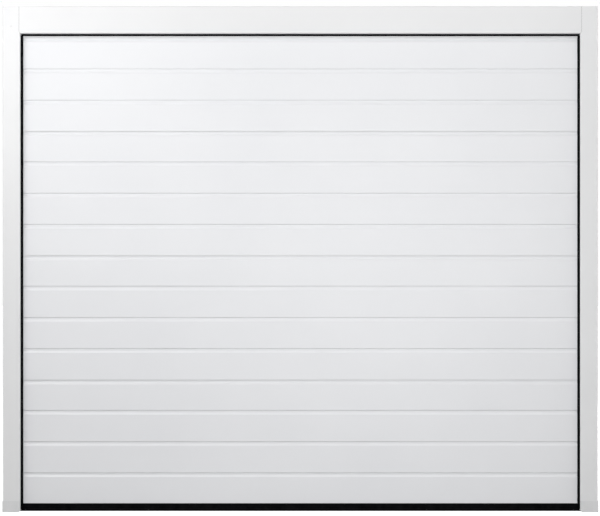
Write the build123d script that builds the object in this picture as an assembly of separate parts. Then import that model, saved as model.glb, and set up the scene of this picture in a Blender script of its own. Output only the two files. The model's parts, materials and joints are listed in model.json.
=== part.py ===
"""Sectional garage door: a ribbed four-section leaf, its frame, tracks and tension-spring counterbalance.

Modelled standing on the floor: X runs across the doorway, Y from outside to inside, Z up from the floor.
Every piece is then moved so that the origin is the middle of the header's front face.
"""
from build123d import *
import math
import os

# Clear opening and frame
clear_width = 2500.0
clear_height = 2138.0
jamb_face = 78.0
header_face = 121.0
frame_depth = 128.0
frame_sheet = 1.5
jamb_return = 20.0
jamb_lip = 14.0
edge_bead = 6.5
outer_corner = 2.0
header_return = 22.0
header_top_return = 40.0
header_lip = 10.0
header_edge_radius = 3.0
header_seam = 0.8
fixing_hole_radius = 4.5
fixing_hole_depth = 50.0
fixing_hole_count = 4
fixing_hole_pitch = 600.0
fixing_hole_start = 170.0

# Plastic feet of the jambs
foot_height = 50.0
foot_wall = 4.0
foot_skin = 3.0
foot_spigot = 25.0
foot_play = 0.2
foot_chamfer = 8.0
foot_clearance = 3.0

# Leaf and its ribbed sections
leaf_front = 34.0
leaf_thickness = 42.0
leaf_overlap = 14.0
leaf_bottom = 31.5
leaf_cover = 47.0
top_section_trim = 75.3
section_count = 4
slats_per_section = 4
groove_depth = 5.0
groove_step = 3.0
groove_flat = 9.0
groove_slope = 9.0
bead_depth = 1.5
bead_width = 16.0

# Finger-safe joint between two sections
nose = 3.0
joint_drop = 3.0
tongue_height = 14.0
tongue_front = 15.0
tongue_width = 9.0
tongue_back = 4.0
joint_play = 2.0

# End caps, bottom rail
cap_sheet = 1.5
cap_flange = 74.0
cap_inset = 4.0
rail_wall = 2.0
rail_height = 15.3

# Seals
seal_wall = 3.0
side_seal_reach = 5.5
head_seal_reach = 8.0
seal_skirt = 2.0
seal_skirt_start = 7.0
seal_touch = 0.3
seal_clip = 9.0
seal_root = 1.0
seal_floor_gap = 2.0
bulb_front = 3.0
bulb_height = 11.0
bulb_round = 5.0
bulb_back_round = 2.5
apron_wall = 2.0

# Hinges
hinge_sheet = 2.5
hinge_width = 70.0
hinge_leaf_height = 62.0
hinge_leaf_start = 10.0
hinge_edge_gap = 1.0
knuckle_radius = 6.0
knuckle_play = 0.3
knuckle_length = 18.0
knuckle_sides = 6
hinge_pin_radius = 3.5
pin_play = 0.05
pivot_rise = 1.0
middle_hinge_count = 2

# Roller carriers, rollers and axles
axle_radius = 5.5
axle_play = 0.1
axle_length = 124.0
axle_tip = 2.0
sleeve_radius = 9.0
ear_sheet = 2.5
ear_half = 15.0
cable_ear_half = 10.0
top_bracket_rise = 43.0
bottom_bracket_gap = 2.0
roller_radius = 23.0
roller_width = 16.0
roller_setback = 24.0
roller_rise = 40.0
bottom_roller_rise = 43.5
top_roller_drop = 70.0
top_roller_setback = 12.0
roller_sides = 20
bar_sides = 8

# Tracks
track_sheet = 2.0
track_inside = 47.0
track_width = 28.0
track_mouth = 31.0
bracket_sheet = 2.5
bend_radius = 300.0
upper_bend_radius = 100.0
track_clearance = 2.0
top_margin = 5.0
upper_track_drop = 30.0
track_depth = 2560.0
track_bracket_height = 60.0
track_bracket_margin = 80.0
track_bracket_count = 3

# Corner plates
plate_margin = 8.5
plate_foot = 85.0
plate_reach = 30.0
plate_waist = 110.0

# Rear cross bar and ceiling hangers
bar_depth = 30.0
bar_height = 50.0
bar_sheet = 2.0
ceiling_rise = 121.0
hanger_width = 40.0
hanger_flange = 70.0
hanger_setback = 130.0
hanger_hole_radius = 4.5

# Counterbalance
cable_radius = 2.0
cable_sides = 6
cable_inset = 15.0
cable_pin_radius = 5.0
cable_pin_rise = 9.0
cable_pin_setback = 18.0
eye_radius = 9.5
eye_width = 5.0
pulley_setback = 75.0
pulley_drop = 99.0
pulley_groove_radius = 35.0
pulley_rim = 7.0
pulley_width = 12.0
pulley_axle_radius = 6.0
pulley_axle_tip = 2.0
pulley_shoulder_radius = 9.0
block_drop = 415.0
block_groove_radius = 20.0
block_length = 45.0
block_half = 12.0
anchor_drop = 210.0
spring_radius = 22.0
spring_sides = 16
spring_wire_radius = 3.0
hook_radius = 10.0
hook_pin_radius = 4.0
hook_pin_inset = 6.0
anchor_bracket_z = 150.0
anchor_bracket_height = 90.0
anchor_pin_rise = 30.0
anchor_tab_height = 40.0

# How far a cut runs past the face that it opens
spare = 1.0

# Worked out from the sizes above
half_clear = clear_width / 2
jamb_out = half_clear + jamb_face
frame_top = clear_height + header_face
header_end = half_clear + edge_bead - header_seam
leaf_back = leaf_front + leaf_thickness
leaf_top = clear_height + leaf_cover
leaf_half = half_clear + leaf_overlap
section_half = leaf_half - cap_sheet
section_pitch = (leaf_top + top_section_trim - leaf_bottom) / section_count
slat_pitch = (section_pitch + groove_step) / slats_per_section
cap_back = leaf_back + cap_sheet
joint_levels = [leaf_bottom + section_pitch * i for i in range(1, section_count)]

track_half = track_inside / 2 + track_sheet
track_back = jamb_out - frame_sheet - bracket_sheet
track_front = track_back - track_width
track_y = leaf_back + roller_setback
top_roller_y = track_y + top_roller_setback
top_roller_z = leaf_top - top_roller_drop
bottom_roller_z = leaf_bottom + bottom_roller_rise
upper_track_z = frame_top - top_margin - track_half
lower_track_z = upper_track_z - 2 * track_half - track_clearance
bend_y = track_y + bend_radius
bend_z = lower_track_z - bend_radius
upper_bend_y = top_roller_y + upper_bend_radius
upper_bend_z = upper_track_z - upper_bend_radius
track_end = track_depth - bar_depth
roller_x = (track_front + track_back) / 2
side_hinge_x = leaf_half - hinge_width / 2 - hinge_edge_gap

plate_front = track_y - track_half - plate_margin
rear_hanger_y = track_end - hanger_setback
front_hanger_y = (bend_y + rear_hanger_y) / 2
ceiling_z = frame_top + ceiling_rise

cable_x = track_front - cable_inset
pulley_y = track_y + pulley_setback
pulley_z = frame_top - pulley_drop
block_z = pulley_z - block_drop
anchor_z = pulley_z - anchor_drop
pulley_line = pulley_groove_radius + cable_radius
block_line = block_groove_radius + cable_radius
spring_y = pulley_y + pulley_line - block_line
anchor_y = spring_y - block_line
origin_z = clear_height + header_face / 2

os.makedirs("parts", exist_ok=True)


def save(name, *shapes):
    """Write the solids of one node, moved to the row's origin."""
    solids = [solid for shape in shapes for solid in shape.solids()]
    export_step(Pos(0, 0, -origin_z) * Compound(children=solids), f"parts/{name}.step")


def save_pair(name, *shapes):
    """Write a right-hand node and its mirror image on the left."""
    save(name + "_right", *shapes)
    save(name + "_left", *[mirrored(shape) for shape in shapes])


def mirrored(shape):
    """The same piece on the other side of the doorway."""
    return mirror(shape, about=Plane.YZ)


def both_sides(shapes):
    """The right-hand pieces and their mirror images."""
    return list(shapes) + [mirrored(shape) for shape in shapes]


def block(x0, x1, y0, y1, z0, z1):
    """A block between two limits along each axis."""
    return Pos((x0 + x1) / 2, (y0 + y1) / 2, (z0 + z1) / 2) * Box(x1 - x0, y1 - y0, z1 - z0)


def area(u0, u1, v0, v1):
    """A flat rectangle between two limits along each of its sides."""
    return Pos((u0 + u1) / 2, (v0 + v1) / 2) * Rectangle(u1 - u0, v1 - v0)


def rod(x0, x1, y, z, radius):
    """A round bar along X."""
    return Pos((x0 + x1) / 2, y, z) * Rot(0, 90, 0) * Cylinder(radius, x1 - x0)


def many_sided(x, y, z, radius, sides):
    """A polygon across X, with its flats at the radius and one of them facing the leaf."""
    outline = RegularPolygon(radius, sides, major_radius=False, rotation=90 - 180 / sides)
    return Pos(x, y, z) * Rot(0, 90, 0) * outline


def bar(x0, x1, y, z, radius, sides=bar_sides):
    """A many-sided bar along X."""
    return extrude(many_sided(x0, y, z, radius, sides), x1 - x0)


def ring(x0, x1, y, z, outer, inner):
    """A many-sided ring along X."""
    return bar(x0, x1, y, z, outer) - bar(x0 - spare, x1 + spare, y, z, inner)


def across(face, x0, x1):
    """A YZ outline run along X between two limits."""
    return Pos(x0, 0, 0) * extrude(Plane.YZ * face, x1 - x0)


def upright(face, z0, z1):
    """An XY outline run up between two heights."""
    return Pos(0, 0, z0) * extrude(face, z1 - z0)


def outward(outline, depth):
    """An outline seen from the front, run from just before the frame's face to a depth behind it."""
    return Pos(0, depth + spare, 0) * extrude(Plane.XZ * make_face(outline), depth + 2 * spare)


def plate(points, x0, x1):
    """A flat plate across X with a straight-sided outline."""
    return across(make_face(Polyline(*points, close=True)), x0, x1)


# Frame

def rounded_edge(rectangle, radius):
    """A rectangle in plan whose front corner beside the doorway is rounded."""
    return fillet(rectangle.vertices().sort_by(Axis.Y)[:2].sort_by(Axis.X)[0], radius)


def jamb_outline():
    """Folded sheet of a jamb in plan: beaded inner edge, face, outer wall and seal lip."""
    skin = rounded_edge(area(half_clear, jamb_out, 0, frame_depth), edge_bead - frame_sheet)
    front_corners = skin.vertices().filter_by(lambda vertex: vertex.Y < frame_sheet)
    skin = fillet(front_corners.sort_by(Axis.X)[-1], outer_corner)
    hollow = area(half_clear + frame_sheet, jamb_out - frame_sheet, frame_sheet, frame_depth + spare)
    hollow = chamfer(hollow.vertices().sort_by(Axis.Y)[:2].sort_by(Axis.X)[0], edge_bead / 2)
    opened = area(half_clear - spare, half_clear + 2 * frame_sheet, jamb_return, frame_depth + spare)
    lip = area(half_clear, half_clear + jamb_lip, jamb_return - frame_sheet, jamb_return)
    return skin - hollow - opened + lip


def header_notch():
    """Space cut from the top of a jamb for the header's mitred end."""
    corner = half_clear + edge_bead
    outline = Polyline(
        (half_clear - spare, clear_height - spare),
        (corner, clear_height + edge_bead),
        (corner, frame_top + spare),
        (half_clear - spare, frame_top + spare),
        close=True,
    )
    return outward(outline, header_top_return)


def fixing_levels():
    """Heights of the fixing holes in a jamb."""
    return [fixing_hole_start + fixing_hole_pitch * i for i in range(fixing_hole_count)]


def jamb_front():
    """A jamb's white face, up to the top of the frame."""
    face = jamb_outline() & area(half_clear, jamb_out, 0, outer_corner)
    return upright(face, foot_height, frame_top) - header_notch()


def jamb_fold():
    """A jamb's return behind its beaded edge, with the lip that carries the seal."""
    fold = jamb_outline() & area(half_clear, half_clear + jamb_lip, outer_corner, jamb_return)
    return upright(fold, foot_height, frame_top) - header_notch()


def jamb_wall():
    """Outer wall of a jamb, with its fixing holes."""
    wall = area(jamb_out - frame_sheet, jamb_out, outer_corner, frame_depth)
    body = upright(wall, foot_height, frame_top)
    inside, outside = jamb_out - frame_sheet - spare, jamb_out + spare
    for level in fixing_levels():
        body -= rod(inside, outside, fixing_hole_depth, level, fixing_hole_radius)
    return body


def header_outline():
    """Folded sheet of the header seen from its end: face, lower return, top flange and their lips."""
    skin = area(0, header_top_return, clear_height, frame_top)
    skin = fillet(skin.vertices().sort_by(Axis.X)[:2], header_edge_radius)
    inside = clear_height + frame_sheet
    hollow = area(frame_sheet, header_top_return + spare, inside, frame_top - frame_sheet)
    hollow = chamfer(hollow.vertices().sort_by(Axis.X)[:2], header_edge_radius - frame_sheet)
    past = header_top_return + spare
    open_back = area(header_return, past, clear_height - spare, frame_top - 2 * frame_sheet)
    sheet = skin - hollow - open_back
    sheet += area(header_return - frame_sheet, header_return, clear_height, clear_height + header_lip)
    sheet += area(header_top_return - frame_sheet, header_top_return, frame_top - header_lip, frame_top)
    return sheet


def header_mitre():
    """Space cut from the header's lower corners for the jambs' beaded edges."""
    outline = Polyline(
        (half_clear - header_seam, clear_height - spare),
        (half_clear - header_seam, clear_height),
        (header_end, clear_height + edge_bead),
        (header_end + spare, clear_height + edge_bead),
        (header_end + spare, clear_height - spare),
        close=True,
    )
    cut = outward(outline, header_top_return)
    return cut + mirrored(cut)


def header_strip(room):
    """The part of the header's folded sheet that lies in a room, with mitred lower corners."""
    return across(header_outline() & room, -header_end, header_end) - header_mitre()


def header():
    """White face of the header, with its rounded edges."""
    return header_strip(area(0, header_edge_radius, clear_height, frame_top))


def header_fold():
    """Lower return of the header, behind the rounded edge of its face."""
    return header_strip(area(header_edge_radius, header_return, clear_height, clear_height + frame_sheet))


def header_flange():
    """Flange along the header's top."""
    return header_strip(area(header_edge_radius, header_top_return, frame_top - frame_sheet, frame_top))


def header_lips():
    """Lips that stiffen the header's two returns; the lower one carries the head seal."""
    above, below = clear_height + frame_sheet, frame_top - frame_sheet
    lower = area(header_return - frame_sheet, header_return, above, clear_height + header_lip)
    upper = area(header_top_return - frame_sheet, header_top_return, frame_top - header_lip, below)
    return [header_strip(lower), header_strip(upper)]


def foot():
    """Plastic foot under a jamb, with a spigot that plugs into the sheet."""
    outside = jamb_out + foot_skin
    past = frame_depth + spare
    leaf_room = area(half_clear - spare, leaf_half + foot_clearance, jamb_return, past)
    sole = rounded_edge(area(half_clear, outside, 0, frame_depth), edge_bead - frame_sheet) - leaf_room
    room = area(half_clear + foot_wall, track_back, foot_wall, past)
    plug = area(
        half_clear + frame_sheet + foot_play,
        jamb_out - frame_sheet - foot_play,
        frame_sheet + foot_play,
        frame_depth,
    )
    behind = area(half_clear - spare, half_clear + jamb_lip + spare, jamb_return / 2, past)
    plug = chamfer(plug.vertices().sort_by(Axis.Y)[:2].sort_by(Axis.X)[0], edge_bead / 2) - room - behind
    body = upright(sole, 0, foot_wall) + upright(sole - room, 0, foot_height)
    body += upright(plug, 0, foot_height + foot_spigot)
    corner = Polyline(
        (half_clear - spare, -spare),
        (half_clear + foot_chamfer + spare, -spare),
        (half_clear - spare, foot_chamfer + spare),
        close=True,
    )
    return body - outward(corner, frame_depth)


# Leaf

def groove(level):
    """Front line of one rib groove, from its upper edge down."""
    top = level + groove_step / 2
    flat = top - groove_step
    slope = flat - groove_flat
    deep = leaf_front + groove_depth
    return [(leaf_front, top), (deep, flat), (deep, slope), (leaf_front, slope - groove_slope)]


def groove_levels(bottom, top):
    """Heights of the grooves of the section that starts at a level and ends at another."""
    levels = [bottom + slat_pitch * i for i in range(1, slats_per_section)]
    return [level for level in levels if level < top - slat_pitch / 4]


def beads(bottom, top):
    """Back line of a section from its foot up, with a shallow bead behind each groove."""
    deep = leaf_back - bead_depth
    points = []
    for level in groove_levels(bottom, top):
        points += [(leaf_back, level - bead_width / 2), (deep, level - bead_width / 4)]
        points += [(deep, level + bead_width / 4), (leaf_back, level + bead_width / 2)]
    return points


def section_profile(bottom, top, joint_below, joint_above):
    """Outline of one section in YZ, with its tongue above and its socket below."""
    deep = leaf_front + groove_depth
    tongue = leaf_front + tongue_front
    lines = []
    front = []
    if joint_above:
        front += [(deep, top - joint_drop), (deep, top - groove_step - groove_flat)]
        front += [(leaf_front, top - groove_step - groove_flat - groove_slope)]
    else:
        front += [(leaf_front, top)]
    for level in reversed(groove_levels(bottom, top)):
        front += groove(level)
    front += [(leaf_front, bottom)]
    if joint_below:
        start = (leaf_front + nose, bottom)
        end = (tongue - joint_play, bottom + tongue_height + joint_play)
        lines += [Polyline(*front, start), ThreePointArc(start, arc_middle(start, end), end)]
        back = tongue + tongue_width + joint_play
        lower_back = (leaf_back, bottom + joint_play / 2)
        lines += [Polyline(
            end,
            (back, bottom + tongue_height + joint_play),
            (back + tongue_back, bottom + joint_play / 2),
            lower_back,
        )]
    else:
        lower_back = (leaf_back, bottom)
        lines += [Polyline(*front, lower_back)]
    if joint_above:
        start = (deep, top - joint_drop)
        end = (tongue, top + tongue_height)
        back = tongue + tongue_width
        lines += [Polyline(
            lower_back,
            *beads(bottom, top),
            (leaf_back, top - joint_play / 2),
            (back + tongue_back, top - joint_play / 2),
            (back, top + tongue_height),
            end,
        )]
        lines += [ThreePointArc(end, arc_middle(start, end), start)]
    else:
        lines += [Polyline(lower_back, *beads(bottom, top), (leaf_back, top), (leaf_front, top))]
    return make_face([edge for line in lines for edge in line.edges()])


def arc_middle(start, end):
    """Middle point of a shallow arc that bulges forward and up between two points."""
    chord = math.dist(start, end)
    bulge = chord / 8
    lean_y = -(end[1] - start[1]) / chord
    lean_z = (end[0] - start[0]) / chord
    return ((start[0] + end[0]) / 2 + bulge * lean_y, (start[1] + end[1]) / 2 + bulge * lean_z)


def section_limits():
    """Lower and upper joint level of each section, from the floor up."""
    levels = [leaf_bottom] + joint_levels + [leaf_top]
    return list(zip(levels[:-1], levels[1:]))


def sections():
    """The sections of the leaf, from the floor up."""
    result = []
    for index, (bottom, top) in enumerate(section_limits()):
        profile = section_profile(bottom, top, index > 0, index < section_count - 1)
        result.append(across(profile, -section_half, section_half))
    return result


def end_caps():
    """Folded caps over the right-hand end of each section."""
    outline = area(section_half, leaf_half, leaf_front + cap_inset, cap_back)
    outline += area(leaf_half - cap_flange, leaf_half, leaf_back, cap_back)
    return [upright(outline, bottom + cap_inset, top - cap_inset) for bottom, top in section_limits()]


def bottom_rail():
    """Aluminium box rail under the lowest section."""
    front = leaf_front + apron_wall
    foot_z = leaf_bottom - rail_height
    outer = area(front, leaf_back, foot_z, leaf_bottom)
    inner = area(front + rail_wall, leaf_back - rail_wall, foot_z + rail_wall, leaf_bottom - rail_wall)
    return across(outer - inner, -section_half, section_half)


# Seals

def bottom_seal():
    """Rubber seal under the leaf: an apron over the rail and a hollow bulb on the floor."""
    seat = leaf_bottom - rail_height
    bulb = area(leaf_front - bulb_front, leaf_back, 0, bulb_height)
    bulb = fillet(bulb.vertices().sort_by(Axis.Y)[:2], bulb_round)
    bulb = fillet(bulb.vertices().sort_by(Axis.Y)[-2:].sort_by(Axis.X)[0], bulb_back_round)
    void = area(
        leaf_front + seal_wall,
        leaf_back - seal_wall,
        seal_wall,
        bulb_height - seal_wall / 2,
    )
    base = area(leaf_front, leaf_back, bulb_height / 2, seat)
    apron = area(leaf_front, leaf_front + apron_wall, seat, leaf_bottom)
    return across(bulb + base + apron - void, -section_half, section_half)


def side_seal():
    """Rubber profile round a jamb's return, with its lip on the face of the leaf."""
    touch = leaf_front - seal_touch
    outline = Polyline(
        (half_clear + seal_clip, jamb_return),
        (half_clear + seal_clip, jamb_return + seal_wall),
        (half_clear + seal_root, jamb_return + seal_wall),
        (half_clear - side_seal_reach + seal_wall, touch),
        (half_clear - side_seal_reach, touch),
        (half_clear - side_seal_reach, touch - seal_wall),
        (half_clear - seal_skirt, jamb_return),
        (half_clear - seal_skirt, seal_skirt_start),
        (half_clear, seal_skirt_start),
        (half_clear, jamb_return),
        close=True,
    )
    top = clear_height - head_seal_reach - seal_touch
    return upright(make_face(outline), bulb_height + seal_floor_gap, top)


def head_seal():
    """Rubber lip from the header's return to the face of the leaf."""
    touch = leaf_front - seal_touch
    outline = Polyline(
        (header_return, clear_height + seal_clip),
        (header_return + seal_wall, clear_height + seal_clip),
        (header_return + seal_wall, clear_height + seal_root),
        (touch, clear_height - head_seal_reach + seal_wall),
        (touch, clear_height - head_seal_reach),
        (touch - seal_wall, clear_height - head_seal_reach),
        (header_return, clear_height - seal_root),
        close=True,
    )
    return across(make_face(outline), -half_clear, half_clear)


# Hinges

def pivot(face_y, level):
    """Axis of a hinge on a face at one joint."""
    return face_y + knuckle_radius + knuckle_play, level + pivot_rise


def hinge_leaf(x, face_y, level, below, knuckles):
    """A hinge leaf on one side of a joint, with knuckles at the given offsets along X."""
    pivot_y, pivot_z = pivot(face_y, level)
    near = pivot_z - hinge_leaf_start if below else pivot_z + hinge_leaf_start
    far = near - hinge_leaf_height if below else near + hinge_leaf_height
    low, high = sorted((near, far))
    half = hinge_width / 2
    body = block(x - half, x + half, face_y, face_y + hinge_sheet, low, high)
    toe = pivot_z - near
    for offset in knuckles:
        start = x + offset - knuckle_length / 2
        end = start + knuckle_length
        body += bar(start, end, pivot_y, pivot_z, knuckle_radius, knuckle_sides)
        low, high = sorted((near - toe / 4, pivot_z))
        body += block(start, end, face_y + knuckle_play, face_y + hinge_sheet, low, high)
    bore = hinge_pin_radius + pin_play
    return body - bar(x - hinge_width, x + hinge_width, pivot_y, pivot_z, bore, knuckle_sides)


def outer_knuckles():
    """Offsets of a leaf's two outer knuckles from its middle."""
    reach = knuckle_length + knuckle_play
    return (-reach, reach)


def hinge_pin(x, face_y, level):
    """Pin of one hinge."""
    pivot_y, pivot_z = pivot(face_y, level)
    half = hinge_width / 2
    return bar(x - half, x + half, pivot_y, pivot_z, hinge_pin_radius, knuckle_sides)


def middle_hinge_columns():
    """Places of the middle hinges across the leaf, at equal steps."""
    step = 2 * leaf_half / (middle_hinge_count + 1)
    return [step * (i + 1) - leaf_half for i in range(middle_hinge_count)]


# Roller carriers

def ear(x0, x1, start_y, y, z, half):
    """A flat ear from a face out round a pivot, with its outer corners cut off."""
    corner = half / 2
    return plate(
        [
            (start_y, z - half),
            (y + half - corner, z - half),
            (y + half, z - half + corner),
            (y + half, z + half - corner),
            (y + half - corner, z + half),
            (start_y, z + half),
        ],
        x0,
        x1,
    )


def carrier(face_y, low, high, roller_y, roller_z):
    """A base plate with two ears that hold a roller's sleeve."""
    start = side_hinge_x - hinge_width / 2
    end = start + hinge_width
    body = block(start, end, face_y, face_y + hinge_sheet, low, high)
    for side in (start, end - ear_sheet):
        body += ear(side, side + ear_sheet, face_y, roller_y, roller_z, ear_half)
    body += bar(start, end, roller_y, roller_z, sleeve_radius)
    return body - bar(start - spare, end + spare, roller_y, roller_z, axle_radius + axle_play)


def side_hinge_carrier(level):
    """Upper leaf of a side hinge, which also carries the roller."""
    pivot_z = pivot(cap_back, level)[1]
    body = hinge_leaf(side_hinge_x, cap_back, level, False, (0,))
    low = pivot_z + hinge_leaf_start
    return body + carrier(cap_back, low, low + hinge_leaf_height, track_y, level + roller_rise)


def cable_pin():
    """Place in YZ of the pin that holds the lift cable on the leaf."""
    return track_y + cable_pin_setback, bottom_roller_z + cable_pin_rise


def bottom_bracket():
    """Lowest roller carrier, with the pin of the lift cable on its outer ear."""
    low = leaf_bottom + cap_inset + bottom_bracket_gap
    body = carrier(cap_back, low, bottom_roller_z + hinge_leaf_height, track_y, bottom_roller_z)
    outer = side_hinge_x + hinge_width / 2
    pin_y, pin_z = cable_pin()
    cable_ear = ear(outer - ear_sheet, outer, track_y, pin_y, pin_z, cable_ear_half)
    bore = bar(outer - ear_sheet - spare, outer + spare, track_y, bottom_roller_z, axle_radius + axle_play)
    return body + (cable_ear - bore) + bar(outer, cable_x + eye_width, pin_y, pin_z, cable_pin_radius)


def top_bracket():
    """Roller carrier at the top of the leaf."""
    low = top_roller_z - hinge_leaf_height
    return carrier(cap_back, low, top_roller_z + top_bracket_rise, top_roller_y, top_roller_z)


def roller_places():
    """Place of each roller in YZ, from the floor up."""
    middle = [(track_y, level + roller_rise) for level in joint_levels]
    return [(track_y, bottom_roller_z)] + middle + [(top_roller_y, top_roller_z)]


def roller(y, z):
    """Nylon roller on its axle."""
    start = roller_x - roller_width / 2
    end = start + roller_width
    bore = bar(start - spare, end + spare, y, z, axle_radius + pin_play)
    return bar(start, end, y, z, roller_radius, roller_sides) - bore


def roller_axle(y, z):
    """Axle of a roller, from its tip in the track back through the carrier."""
    end = roller_x + roller_width / 2 + axle_tip
    return bar(end - axle_length, end, y, z, axle_radius)


# Tracks

def track_section(centre):
    """C-shaped track section, with X along its depth and its middle at the given place."""
    outer = area(track_front, track_back, centre - track_half, centre + track_half)
    inner = area(
        track_front + track_sheet,
        track_back - track_sheet,
        centre - track_inside / 2,
        centre + track_inside / 2,
    )
    half_mouth = track_mouth / 2
    past = track_front + track_sheet + spare
    return outer - inner - area(track_front - spare, past, centre - half_mouth, centre + half_mouth)


def vertical_track():
    """Upright track on the jamb, from the foot to the bend."""
    return upright(track_section(track_y), foot_wall, bend_z)


def track_bend(centre_y, centre_z, start_y):
    """Quarter bend of a track, from upright to level."""
    face = Pos(0, 0, centre_z) * track_section(start_y)
    return revolve(face, Axis((0, centre_y, centre_z), (-1, 0, 0)), 90)


def level_track(z, start, end):
    """Level track at one height."""
    profile = Plane((0, start, z), x_dir=(1, 0, 0), z_dir=(0, 1, 0)) * track_section(0)
    return extrude(profile, end - start)


def upper_track():
    """Track of the top roller: a short upright start, a tight bend and the level run."""
    lead = upright(track_section(top_roller_y), upper_bend_z - upper_track_drop, upper_bend_z)
    bend = track_bend(upper_bend_y, upper_bend_z, top_roller_y)
    return lead + bend + level_track(upper_track_z, upper_bend_y, track_end)


def track_brackets():
    """Flat brackets between the vertical track and the jamb's wall."""
    half = track_bracket_height / 2
    low = anchor_bracket_z + anchor_bracket_height + track_bracket_margin
    high = bend_z - plate_foot - track_bracket_margin
    step = (high - low) / (track_bracket_count - 1)
    levels = [low + step * i for i in range(track_bracket_count)]
    front, back = track_y - track_half, frame_depth
    return [block(track_back, track_back + bracket_sheet, front, back, z - half, z + half) for z in levels]


def corner_plate():
    """Plate that carries the bends, the pulley's axle and the end of the lift cable."""
    foot_z = bend_z - plate_foot
    tail = bend_y + plate_reach
    outline = [
        (plate_front, foot_z),
        (frame_depth, foot_z),
        (frame_depth + plate_waist, bend_z + plate_foot),
        (bend_y - plate_waist, lower_track_z - plate_foot),
        (tail, lower_track_z),
        (tail, frame_top - top_margin),
        (plate_front, frame_top - top_margin),
    ]
    body = plate(outline, track_back, track_back + bracket_sheet)
    axle_end = cable_x - pulley_width / 2 - pulley_axle_tip
    shoulder = cable_x + pulley_width / 2 + knuckle_play
    body += bar(shoulder, track_back, pulley_y, pulley_z, pulley_shoulder_radius)
    body += bar(axle_end, track_back, pulley_y, pulley_z, pulley_axle_radius)
    return body + bar(cable_x - eye_width, track_back, anchor_y, anchor_z, cable_pin_radius)


def rear_bar():
    """Channel across the ends of the tracks."""
    middle = (upper_track_z + lower_track_z) / 2
    low = middle - bar_height / 2
    high = middle + bar_height / 2
    outer = area(track_end, track_depth, low, high)
    inner = area(track_end + bar_sheet, track_depth + spare, low + bar_sheet, high - bar_sheet)
    return across(outer - inner, -track_back, track_back)


def ceiling_hanger(place):
    """Angle from the double track up to the ceiling, with a hole in its flange."""
    outer = track_back + bracket_sheet
    inner = outer - hanger_flange
    front, back = place - hanger_width / 2, place + hanger_width / 2
    body = block(track_back, outer, front, back, lower_track_z - track_half, ceiling_z)
    body += block(inner, track_back, front, back, ceiling_z - bracket_sheet, ceiling_z)
    middle = Pos(inner + hanger_flange / 2, place, ceiling_z)
    return body - middle * Cylinder(hanger_hole_radius, 4 * bracket_sheet)


# Counterbalance

def pulley(y, z, groove_radius):
    """Grooved cable pulley, whose many-sided groove stays inside the cable's line."""
    half = pulley_width / 2
    reach = half + spare
    bottom = groove_radius * math.cos(math.pi / roller_sides)
    wheel = bar(cable_x - half, cable_x + half, y, z, bottom, roller_sides)
    for side in (-1, 1):
        rim = many_sided(cable_x + side * half, y, z, groove_radius + pulley_rim, roller_sides)
        root = many_sided(cable_x + side * cable_radius, y, z, bottom, roller_sides)
        wheel += loft([rim, root])
    return wheel - bar(cable_x - reach, cable_x + reach, y, z, pulley_axle_radius + pin_play)


def pulley_block():
    """Fork that hangs the loose pulley on the spring."""
    gap = pulley_width / 2 + knuckle_play
    top = block_z + block_half
    bottom = block_z - block_length
    body = bar(cable_x - gap, cable_x + gap, spring_y, block_z, pulley_axle_radius)
    body += bar(cable_x - gap, cable_x + gap, spring_y, bottom + hook_pin_inset, hook_pin_radius)
    for start in (cable_x - gap - hinge_sheet, cable_x + gap):
        body += block(start, start + hinge_sheet, spring_y - block_half, spring_y + block_half, bottom, top)
    return body


def spring():
    """Outer shape of a tension spring, with the eye of a hook at each end."""
    seat = hook_radius - spring_wire_radius - hook_pin_radius - seal_touch
    lower_hook = anchor_bracket_z + anchor_pin_rise + seat
    upper_hook = block_z - block_length + hook_pin_inset - seat
    low = lower_hook + hook_radius
    high = upper_hook - hook_radius
    body = upright(Pos(cable_x, spring_y) * RegularPolygon(spring_radius, spring_sides), low, high)
    start, end = cable_x - spring_wire_radius, cable_x + spring_wire_radius
    outer, inner = hook_radius + spring_wire_radius, hook_radius - spring_wire_radius
    for hook_z in (lower_hook, upper_hook):
        body += ring(start, end, spring_y, hook_z, outer, inner)
    return body


def spring_anchor():
    """Bracket at the foot of the jamb that holds the spring's lower hook."""
    low = anchor_bracket_z
    tab = cable_x - spring_radius
    front, back = spring_y - spring_radius, spring_y + spring_radius
    top = low + anchor_bracket_height
    wall = block(track_back, track_back + bracket_sheet, plate_front, back, low, top)
    shelf = block(tab, track_back, front, back, low, low + bracket_sheet)
    lug = block(tab, tab + bracket_sheet, front, back, low, low + anchor_tab_height)
    return wall + shelf + lug + bar(tab, track_back, spring_y, low + anchor_pin_rise, hook_pin_radius)


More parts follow.
